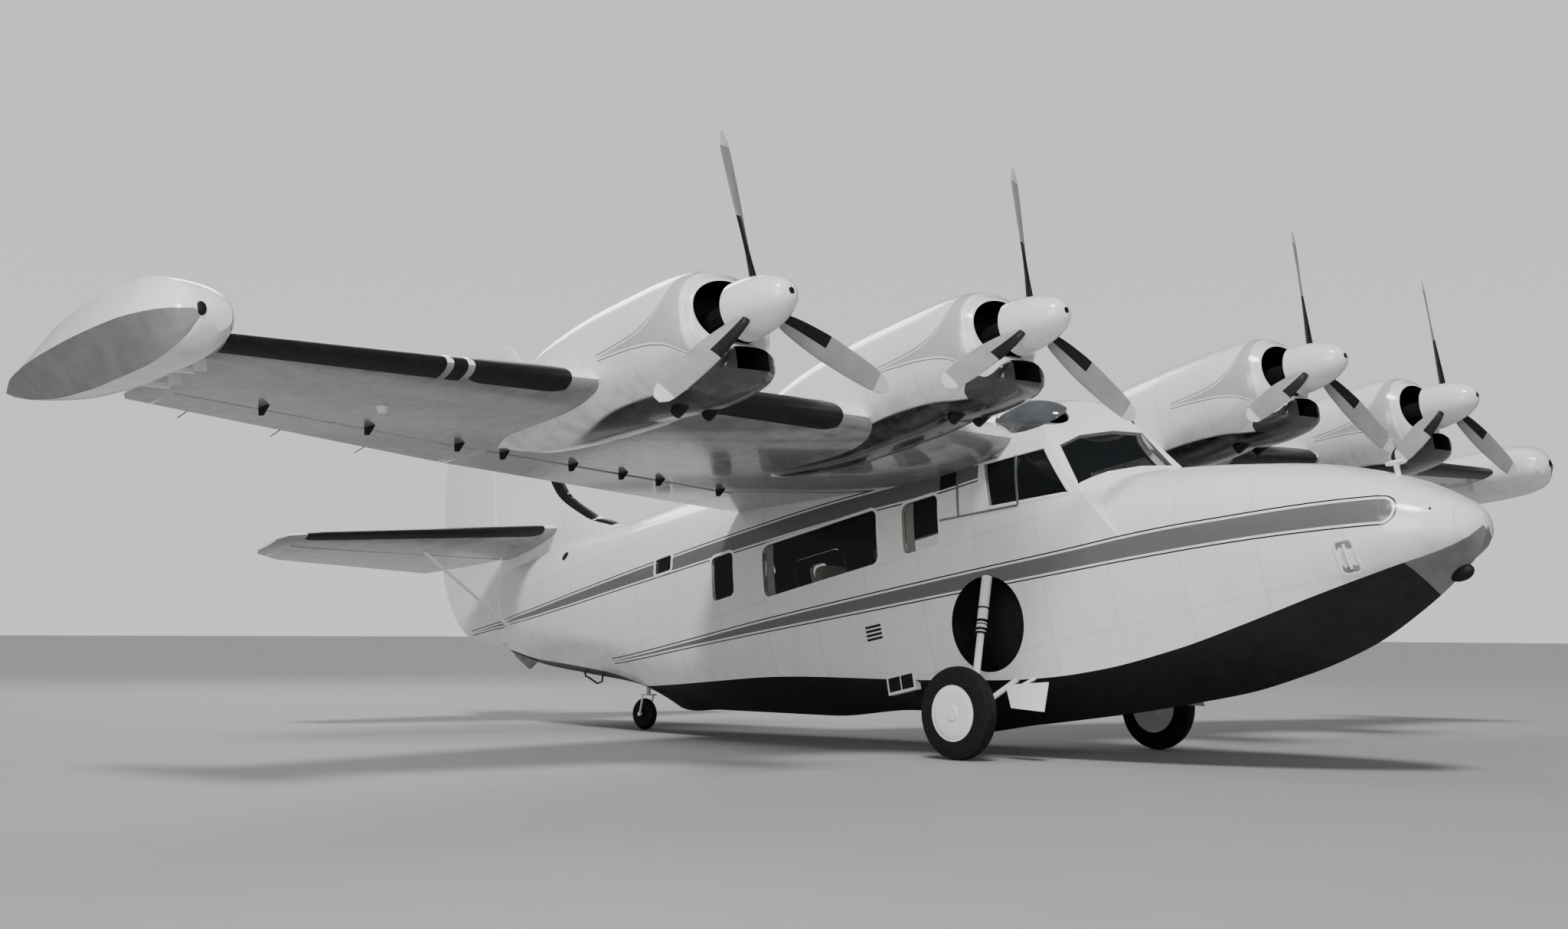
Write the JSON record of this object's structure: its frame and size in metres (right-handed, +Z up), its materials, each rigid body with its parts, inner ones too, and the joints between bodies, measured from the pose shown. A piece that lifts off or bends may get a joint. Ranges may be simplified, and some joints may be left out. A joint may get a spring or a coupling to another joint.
{
  "type": "amphibious flying boat",
  "caption": "High-wing amphibious flying boat with wing-mounted engines, tip floats, wheels and a glazed cabin; surfaces, door, floats, wheels and propellers move.",
  "frame": {"origin": "middle of the object's length and width, at the ground under the wheels", "axes": "+X to port along the wing span, +Y aft so that the nose points to -Y, +Z up; the aircraft sits nose up on its three wheels"},
  "size_m": [15.484, 12.2241, 4.1942],
  "materials": {
    "white_paint": "gloss",
    "bottom_paint": "semi-gloss",
    "grey_paint": "matt",
    "cast_metal": "rough",
    "blade_paint": "satin",
    "tyre": "matt",
    "glazing": "polished",
    "seat_cloth": "woven",
    "black_trim": "matt"
  },
  "bodies": {
    "airframe": {"hull_bow": "white_paint", "hull_bottom": "bottom_paint", "cabin_floor": "grey_paint", "wing_left": "white_paint", "wing_right": "white_paint", "nacelle_inner_right": "white_paint", "engine_inner_right": "cast_metal", "nacelle_inner_left": "white_paint", "engine_inner_left": "cast_metal", "nacelle_outer_right": "white_paint", "engine_outer_right": "cast_metal", "nacelle_outer_left": "white_paint", "engine_outer_left": "cast_metal", "tailplane_left": "white_paint", "tail_strut_left": "white_paint", "tailplane_right": "white_paint", "tail_strut_right": "white_paint", "fin": "white_paint", "main_leg_left": "white_paint", "main_leg_right": "white_paint", "pilot_seat_left": "seat_cloth", "pilot_seat_right": "seat_cloth", "cabin_seat_front_left": "seat_cloth", "cabin_seat_front_right": "seat_cloth", "cabin_seat_rear_left": "seat_cloth", "cabin_seat_rear_right": "seat_cloth", "instrument_panel": "black_trim", "control_columns": "black_trim", "hull_cabin": "white_paint", "hull_tail": "white_paint", "windshield": "glazing", "side_glass_right": "glazing", "side_glass_left": "glazing", "roof_window_left": "glazing", "roof_window_right": "glazing"},
    "propeller_inner_right_body": {"propeller_inner_right": "blade_paint"},
    "propeller_inner_left_body": {"propeller_inner_left": "blade_paint"},
    "propeller_outer_right_body": {"propeller_outer_right": "blade_paint"},
    "propeller_outer_left_body": {"propeller_outer_left": "blade_paint"},
    "main_wheel_left_body": {"main_wheel_left": "tyre"},
    "main_wheel_right_body": {"main_wheel_right": "tyre"},
    "tail_fork_body": {"tail_fork": "white_paint"},
    "tail_wheel_body": {"tail_wheel": "tyre"},
    "rudder_body": {"rudder": "white_paint"},
    "elevator_left_body": {"elevator_left": "white_paint"},
    "elevator_right_body": {"elevator_right": "white_paint"},
    "flap_left_body": {"flap_left": "white_paint"},
    "aileron_left_body": {"aileron_left": "white_paint"},
    "flap_right_body": {"flap_right": "white_paint"},
    "aileron_right_body": {"aileron_right": "white_paint"},
    "float_left_body": {"float_left": "white_paint"},
    "float_right_body": {"float_right": "white_paint"},
    "cabin_door_body": {"cabin_door": "white_paint", "door_glass": "glazing"}
  },
  "joints": [
    {"name": "propeller_inner_right_spin", "type": "hinge", "parent": "airframe", "child": "propeller_inner_right_body", "pos_m": [-1.699, -3.68708, 3.0685], "axis": [0, 0.9809, -0.1945], "continuous": true},
    {"name": "propeller_inner_left_spin", "type": "hinge", "parent": "airframe", "child": "propeller_inner_left_body", "pos_m": [1.699, -3.68708, 3.0685], "axis": [0, 0.9809, -0.1945], "continuous": true},
    {"name": "propeller_outer_right_spin", "type": "hinge", "parent": "airframe", "child": "propeller_outer_right_body", "pos_m": [-4.061, -3.48843, 2.95978], "axis": [0, 0.9809, -0.1945], "continuous": true},
    {"name": "propeller_outer_left_spin", "type": "hinge", "parent": "airframe", "child": "propeller_outer_left_body", "pos_m": [4.061, -3.48843, 2.95978], "axis": [0, 0.9809, -0.1945], "continuous": true},
    {"name": "main_wheel_left_spin", "type": "hinge", "parent": "airframe", "child": "main_wheel_left_body", "pos_m": [1.19, -2.5156, 0.345], "axis": [1, 0, 0], "continuous": true},
    {"name": "main_wheel_right_spin", "type": "hinge", "parent": "airframe", "child": "main_wheel_right_body", "pos_m": [-1.19, -2.5156, 0.345], "axis": [1, 0, 0], "continuous": true},
    {"name": "tail_wheel_swivel", "type": "hinge", "parent": "airframe", "child": "tail_fork_body", "pos_m": [0, 2.5814, 0.3], "axis": [0, 0, 1], "range_deg": [-90, 90]},
    {"name": "tail_wheel_spin", "type": "hinge", "parent": "tail_fork_body", "child": "tail_wheel_body", "pos_m": [0, 2.6364, 0.147], "axis": [1, 0, 0], "continuous": true},
    {"name": "rudder_hinge", "type": "hinge", "parent": "airframe", "child": "rudder_body", "pos_m": [0, 4.92769, 0.79732], "axis": [0, 0.0994, 0.995], "range_deg": [-25, 25]},
    {"name": "elevator_left_hinge", "type": "hinge", "parent": "airframe", "child": "elevator_left_body", "pos_m": [0.17, 4.83359, 1.74167], "axis": [1, 0, 0], "range_deg": [-20, 25]},
    {"name": "elevator_right_hinge", "type": "hinge", "parent": "airframe", "child": "elevator_right_body", "pos_m": [-0.17, 4.83359, 1.74167], "axis": [1, 0, 0], "range_deg": [-20, 25]},
    {"name": "flap_left_hinge", "type": "hinge", "parent": "airframe", "child": "flap_left_body", "pos_m": [1.38, -0.15795, 2.15228], "axis": [-0.9861, 0.1598, -0.0456], "range_deg": [0, 40]},
    {"name": "aileron_left_hinge", "type": "hinge", "parent": "airframe", "child": "aileron_left_body", "pos_m": [4.19, -0.61646, 2.28226], "axis": [-0.9719, 0.2314, -0.0435], "range_deg": [-18, 18]},
    {"name": "flap_right_hinge", "type": "hinge", "parent": "airframe", "child": "flap_right_body", "pos_m": [-1.38, -0.15795, 2.15228], "axis": [-0.9861, -0.1598, 0.0456], "range_deg": [0, 40]},
    {"name": "aileron_right_hinge", "type": "hinge", "parent": "airframe", "child": "aileron_right_body", "pos_m": [-4.19, -0.61646, 2.28226], "axis": [-0.9719, -0.2314, 0.0435], "range_deg": [-18, 18]},
    {"name": "float_left_swing", "type": "hinge", "parent": "airframe", "child": "float_left_body", "pos_m": [7.085, -2.03512, 2.42282], "axis": [0, 0.9809, -0.1945], "range_deg": [0, 90]},
    {"name": "float_right_swing", "type": "hinge", "parent": "airframe", "child": "float_right_body", "pos_m": [-7.085, -2.03512, 2.42282], "axis": [0, -0.9809, 0.1945], "range_deg": [0, 90]},
    {"name": "cabin_door_hinge", "type": "hinge", "parent": "airframe", "child": "cabin_door_body", "pos_m": [0.754, 0.52031, 1.19221], "axis": [0, -0.1945, -0.9809], "range_deg": [0, 88]}
  ],
  "couplings": [
    {"joint": "elevator_right_hinge", "follows": "elevator_left_hinge", "ratio": 1},
    {"joint": "aileron_right_hinge", "follows": "aileron_left_hinge", "ratio": -1},
    {"joint": "flap_right_hinge", "follows": "flap_left_hinge", "ratio": 1}
  ]
}
